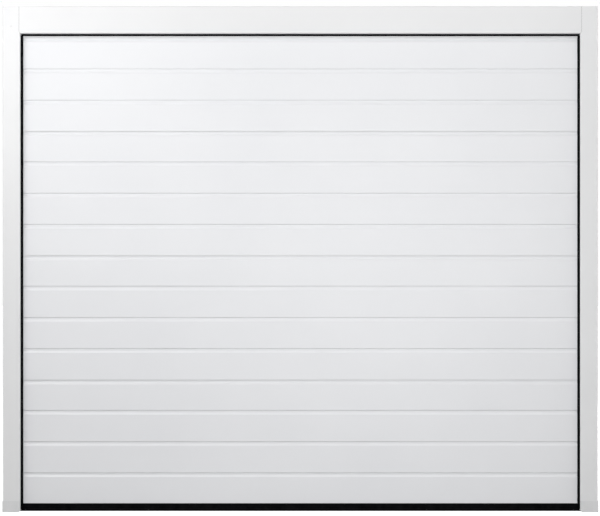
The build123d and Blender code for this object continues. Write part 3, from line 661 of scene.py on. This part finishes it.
def axles():
    """Turned axles with chamfered ends, a shoulder washer and a retaining ring."""
    start, end, chamfer = axle_start - roller_x, 10.0, 1.2
    groove_start, groove_end, root = start + 4.0, start + 5.2, axle_radius - 0.8
    tip = axle_radius - chamfer
    profile = [(start, 0.0), (start, tip), (start + chamfer, axle_radius)]
    profile += [(groove_start, axle_radius), (groove_start, root), (groove_end, root)]
    profile += [(groove_end, axle_radius), (-16.0, axle_radius), (end - chamfer, axle_radius)]
    profile += [(end, tip), (end, 0.0)]
    clip = [(groove_start + 0.1, root + 0.1), (groove_start + 0.1, 8.2), (groove_end - 0.1, 8.2)]
    clip.append((groove_end - 0.1, root + 0.1))
    washer = [(-11.4, axle_radius + 0.1), (-11.4, 10.0), (-9.9, 10.0), (-9.9, axle_radius + 0.1)]
    places = [(roller_x, y, z) for y, z in roller_places]
    form = turned(places, profile, 24)
    for ring in (clip, washer):
        form.joined(turned(places, ring, 24, True))
    make("axle_bars", "steel", form.joined(form.mirrored()), "roller_axles")


def pins():
    """Hinge pins with a domed head and a peened end."""
    half = hinge_width / 2
    profile = [(-half, 0.0), (-half + 0.2, 2.4), (-half + 0.9, 3.3), (-half + 1.4, pin_radius)]
    profile += [(-x, radius) for x, radius in reversed(profile)]
    form = Form()
    for joint in joints:
        for x in middle_hinges:
            form.lathe(profile, (x, leaf_back + pivot_reach, joint + pivot_rise), 20)
        for x in (-side_hinge_x, side_hinge_x):
            form.lathe(profile, (x, cap_back + pivot_reach, joint + pivot_rise), 20)
    make("hinge_bolts", "steel", form, "hinge_pins")


# Hinges and carriers

def flat_plate(form, x0, x1, face, low, high):
    """An upright plate on a face, with rounded corners and a small edge."""
    corner, edge = 7.0, 0.5
    outline = rounded([(x0, low), (x1, low), (x1, high), (x0, high)], corner, 5)
    middle_x, middle_z = (x0 + x1) / 2, (low + high) / 2
    rings = []
    for y, inset in ((face, 0.0), (face + hinge_sheet - edge, 0.0), (face + hinge_sheet, edge)):
        ring = []
        for x, z in outline:
            dx, dz = math.copysign(inset, middle_x - x), math.copysign(inset, middle_z - z)
            ring.append((x + dx, y, z + dz))
        rings.append(ring)
    form.loft(rings)


def knuckle(form, x, face, pivot_z, way):
    """A rolled knuckle: the plate's tongue runs up to the pivot and wraps round the pin."""
    centre = (face + pivot_reach, pivot_z)
    half, tongue_z = knuckle_length / 2, pivot_z - way * 12.5
    outer = [(face + 2.4, tongue_z)] + arc(centre, knuckle_radius, 180, -120, 22)
    inner = [(face + 0.05, tongue_z)] + arc(centre, knuckle_bore, 180, -120, 22)
    if way < 0:
        outer = [(y, 2 * pivot_z - z) if i else (y, z) for i, (y, z) in enumerate(outer)]
        inner = [(y, 2 * pivot_z - z) if i else (y, z) for i, (y, z) in enumerate(inner)]
    rings = []
    for start, end in zip(outer, inner):
        rings.append([(x - half, *start), (x + half, *start), (x + half, *end), (x - half, *end)])
    form.loft(rings)


def leaf_plate(form, x, face, joint, way, offsets):
    """A hinge leaf with its knuckles, below the joint (way 1) or above it (way -1)."""
    pivot_z = joint + pivot_rise
    low, high = sorted((pivot_z - way * 10.0, pivot_z - way * 72.0))
    flat_plate(form, x - hinge_width / 2, x + hinge_width / 2, face, low, high)
    for offset in offsets:
        knuckle(form, x + offset, face, pivot_z, way)


def plate_screws(form, x, face, levels):
    """Screws through a plate, in two columns."""
    for column in screw_columns:
        for level in levels:
            form.bolt((x + column, face + hinge_sheet, level), (0, 1, 0), 4.2, 4.2, 6.6)


def leaf_screws(form, x, face, joint):
    """Four screws in each hinge leaf of a joint."""
    for way in (1, -1):
        plate_screws(form, x, face, [joint + pivot_rise - way * drop for drop in (25.0, 56.0)])


def ear_shape(y, z, face, half):
    """Rounded outline of an ear round a pivot."""
    return [(face + 0.2, z - half)] + arc((y, z), half, -90, 90, 16) + [(face + 0.2, z + half)]


def carrier(form, face, low, high, y, z):
    """A base plate with two ears and the sleeve that guides a roller's axle."""
    start, end = side_hinge_x - hinge_width / 2, side_hinge_x + hinge_width / 2
    ear_radius, sleeve_radius, bore = 14.0, 9.0, axle_radius + 0.1
    flat_plate(form, start, end, face, low, high)
    for side in (start, end - hinge_sheet):
        form.prism(ear_shape(y, z, face, ear_radius), side, side + hinge_sheet, 0.4)
    sleeve = [(0.0, bore), (0.0, sleeve_radius - 0.6), (0.7, sleeve_radius)]
    sleeve += [(hinge_width - along, radius) for along, radius in reversed(sleeve)]
    form.lathe(sleeve, (start, y, z), 28, True)


def hinges():
    """Rolled hinges between the sections, and their screws."""
    lower, upper, screws, sides = Form(), Form(), Form(), Form()
    reach = knuckle_length + 0.3
    for joint in joints:
        for x in middle_hinges:
            leaf_plate(lower, x, leaf_back, joint, 1, (-reach, reach))
            leaf_plate(upper, x, leaf_back, joint, -1, (0,))
            leaf_screws(screws, x, leaf_back, joint)
        for x in (-side_hinge_x, side_hinge_x):
            leaf_plate(lower, x, cap_back, joint, 1, (-reach, reach))
            leaf_screws(screws, x, cap_back, joint)
        leaf_plate(sides, side_hinge_x, cap_back, joint, -1, (0,))
        carrier(sides, cap_back, joint + 11.0, joint + 73.0, track_y, joint + roller_rise)
    make("rolled_hinges_lower", "hinge_zinc", lower, "lower_hinge_leaves")
    make("rolled_hinges_upper", "hinge_zinc", upper, "upper_hinge_leaves")
    make_pair("roller_carriers", "hinge_zinc", sides, "side_hinge_carriers")
    brackets(screws)
    make("hinge_screws", "hinge_zinc", screws)


def brackets(screws):
    """Brackets at the foot and the top of the leaf, with their screws."""
    foot, top, heads = Form(), Form(), Form()
    outer = side_hinge_x + hinge_width / 2
    (foot_y, foot_z), (top_y, top_z) = roller_places[0], roller_places[-1]
    radius, root, tip, end = 5.0, 4.4, 4.2, cable_x + 5.0 - outer
    stud = [(0.0, radius), (22.5, radius), (22.6, root), (23.6, root), (23.7, radius)]
    stud += [(end - 0.8, radius), (end, tip), (end, 0.0)]
    carrier(foot, cap_back, 37.5, foot_z + 62.0, foot_y, foot_z)
    foot.prism(ear_shape(pin_y, pin_z, track_y, 9.5), outer - hinge_sheet, outer, 0.4)
    foot.lathe(stud, (outer, pin_y, pin_z), 24)
    carrier(top, cap_back, top_z - 62.0, top_z + 43.0, top_y, top_z)
    levels = (foot_z + 30.0, foot_z + 52.0, top_z - 52.0, top_z - 28.0, top_z + 30.0)
    plate_screws(heads, side_hinge_x, cap_back, levels)
    make("foot_brackets", "hinge_zinc", foot.joined(foot.mirrored()), "bottom_brackets")
    make("head_brackets", "hinge_zinc", top.joined(top.mirrored()), "top_brackets")
    screws.joined(heads).joined(heads.mirrored())


# Rubber seals

def lip_seals():
    """Side seals: a clip round the jamb's return and a lip that curves onto the leaf, in XY."""
    ends = (13.0, 2129.7)
    root, heel = (1247.9, 20.0), (1245.6, 33.6)
    lip = [root] + bezier(root, (1247.2, 24.0), (1245.4, 28.5), (1242.6, 31.6), 6)
    tip = [(1242.3, 32.5), (1242.6, 33.3), (1243.4, 33.6)]
    inner = [heel] + bezier(heel, (1247.4, 30.0), (1249.2, 26.0), (1250.6, 23.6), 6)
    clip = [(1251.4, 23.0), (1258.4, 23.0), (1259.0, 22.4), (1259.0, 20.05), (1249.95, 20.05)]
    outline = lip + tip + inner + clip + [(1249.95, 7.1), (1248.5, 7.1), (1247.9, 7.7)]
    form = Form()
    form.loft([[(x, y, z) for x, y in outline] for z in ends])
    make_pair("lip_seals", "rubber", form, "side_seal", sharp=50)


def bottom_lip():
    """The lip of the bottom seal that laps the lower edge of the leaf's face."""
    half_width = 1262.0
    outline = [(32.7, 26.0), (32.6, 33.6), (33.0, 34.6), (33.95, 35.0), (33.95, 26.0)]
    form = Form()
    form.prism(outline, -half_width, half_width)
    make("bottom_lip", "rubber", form, sharp=50)


def seam_shade_strips():
    """Thin strips of black rubber in the joints between header and jambs, down into the mitres, in
    XZ: painted shade, a dark filler that stands in for the shade inside the gaps.
    """
    mitre_z, top = 2138.6, 2258.0
    inner, outer = 1255.75, 1256.45
    outline = [(1249.8, mitre_z), (1250.55, mitre_z), (outer, 2144.5), (outer, top), (inner, top)]
    outline.append((inner, 2144.55))
    form = Form()
    form.loft([[(x, y, z) for x, z in outline] for y in (0.3, 1.55)])
    make("seam_shade_strips", "rubber", form.joined(form.mirrored()))


# Fasteners of the tracks and the frame

def track_bolts():
    """Flange bolts through the corner plates, brackets, hangers and rear bar."""
    form = Form()
    outer, outward = track_back + plate_sheet, (1, 0, 0)
    ceiling_bolt_x, bar_face = 1289.5, 2532.0
    places = [(track_y, 1806.0), (track_y, 1850.0)]
    for turn in (25, 50, 72):
        angle = math.radians(turn)
        y, z = bend_y - bend_radius * math.cos(angle), bend_z + bend_radius * math.sin(angle)
        places.append((y, z))
    places += [(415.0, lower_track_z), (300.0, upper_track_z), (408.0, upper_track_z)]
    places.append((121.0, 2112.0))
    for place in places:
        form.bolt((outer, *place), outward)
    form.bolt((outer, pulley_y, pulley_z), outward, 8.0, 4.5, 12.0)
    form.bolt((outer, anchor_y, anchor_z), outward, 6.5, 4.5, 10.0)
    for y in hanger_places:
        for z in (lower_track_z, upper_track_z):
            for dy in (-10.0, 10.0):
                form.bolt((outer, y + dy, z), outward)
        form.bolt((ceiling_bolt_x, y, ceiling_level - plate_sheet), (0, 0, -1), 6.5, 5.5, 12.0)
    for z in (lower_track_z, upper_track_z):
        form.bolt((roller_x, bar_face, z), (0, 1, 0), 5.0, 4.5, 8.0)
    make("track_bolts", "steel", form.joined(form.mirrored()))


def corner_lugs():
    """Flat lugs behind the header's ends, with the rivets that hold them to header and jamb."""
    form = Form()
    low, high, front, back = 2145.0, 2256.0, 1.6, 2.8
    form.prism([(front, low), (back, low), (back, high), (front, high)], 1244.0, 1276.0)
    for x in (1249.0, 1266.0):
        for z in (2160.0, 2200.0, 2240.0):
            form.dome((x, back, z), (0, 1, 0), 4.0, 1.6)
    make("corner_lugs", "zinc", form.joined(form.mirrored()))


springs()
cables()
pulleys()
pulley_forks()
rollers()
axles()
pins()
hinges()
lip_seals()
bottom_lip()
seam_shade_strips()
track_bolts()
corner_lugs()


# Studio

def soft_light(name, place, aim, size, power):
    """A square soft white light at a place, aimed at a point."""
    data = bpy.data.lights.new(name, "AREA")
    data.shape = "SQUARE"
    data.size = size
    data.energy = power
    light = bpy.data.objects.new(name, data)
    bpy.context.scene.collection.objects.link(light)
    light.location = place
    light.rotation_euler = (Vector(aim) - Vector(place)).to_track_quat("-Z", "Y").to_euler()


def white_world(seen, cast):
    """A plain world: one brightness behind the object and another as the light it casts."""
    world = bpy.data.worlds.new("studio")
    bpy.context.scene.world = world
    world.use_nodes = True
    tree = world.node_tree
    background = tree.nodes["Background"]
    background.inputs["Color"].default_value = (1.0, 1.0, 1.0, 1)
    background.inputs["Strength"].default_value = cast
    behind = shader_node(tree, "ShaderNodeBackground", {"Color": (1, 1, 1, 1), "Strength": seen})
    straight = shader_node(tree, "ShaderNodeLightPath").outputs["Is Camera Ray"]
    mixed = shader_node(tree, "ShaderNodeMixShader", {0: straight})
    tree.links.new(background.outputs[0], mixed.inputs[1])
    tree.links.new(behind.outputs[0], mixed.inputs[2])
    tree.links.new(mixed.outputs[0], tree.nodes["World Output"].inputs[0])


def studio_floor():
    """A plain pale floor under the door, which glows to the camera and is grey as a reflector."""
    size, glow = 30.0, 0.95
    mesh = bpy.data.meshes.new("studio_floor")
    corners = [(-size, -size), (size, -size), (size, size), (-size, size)]
    mesh.from_pydata([(x, y, floor_level) for x, y in corners], [], [(0, 1, 2, 3)])
    floor = bpy.data.objects.new("studio_floor", mesh)
    bpy.context.scene.collection.objects.link(floor)
    material, tree, shader, place = new_material("studio_floor", Emission_Color=(1, 1, 1, 1))
    light, dark = (0.5, 0.5, 0.5, 1), (0.47, 0.47, 0.475, 1)
    tone = blend_colours(tree, noise(tree, place, 3.0, 4.0), light, dark)
    wire(tree, shader, "Base Color", tone)
    wire(tree, shader, "Roughness", spread(tree, noise(tree, place, 30.0), 0.7, 0.8))
    straight = shader_node(tree, "ShaderNodeLightPath").outputs["Is Camera Ray"]
    wire(tree, shader, "Emission Strength", math_node(tree, "MULTIPLY", straight, glow))
    floor.data.materials.append(material)


def camera():
    """The camera of the photograph: straight on, at the height of the doorway's middle."""
    distance, height, aside = 7.0, 1.135, -0.0013
    view_width, sensor = 2.6784, 36.0
    data = bpy.data.cameras.new("camera")
    data.sensor_width = sensor
    data.lens = sensor * distance / view_width
    seen_from = bpy.data.objects.new("camera", data)
    bpy.context.scene.collection.objects.link(seen_from)
    seen_from.location = (aside, -distance, floor_level + height)
    seen_from.rotation_euler = (math.radians(90), 0, 0)
    bpy.context.scene.camera = seen_from


camera()
studio_floor()
white_world(seen=1.0, cast=0.24)
soft_light("key", (-2.0, -2.0, 0.5), (-0.4, 0.0, -0.6), 1.6, 27.0)
soft_light("left", (-1.6, -2.4, 0.1), (-0.6, 0.0, -0.5), 1.6, 9.8)
soft_light("right", (1.2, -2.6, 1.0), (0.6, 0.0, -0.6), 2.0, 27.5)
soft_light("front", (0.0, -6.0, -0.6), (0.0, 0.0, -1.0), 4.0, 55.0)
soft_light("low", (0.8, -3.0, -1.3), (0.6, 0.0, -1.5), 1.6, 19.2)
soft_light("inside_left", (-2.6, 4.8, 1.6), (0.2, 0.6, -1.0), 3.0, 190.0)
soft_light("inside_right", (3.0, 4.2, 0.4), (-0.2, 0.4, -1.0), 3.0, 110.0)
bpy.context.scene.view_settings.view_transform = "Standard"
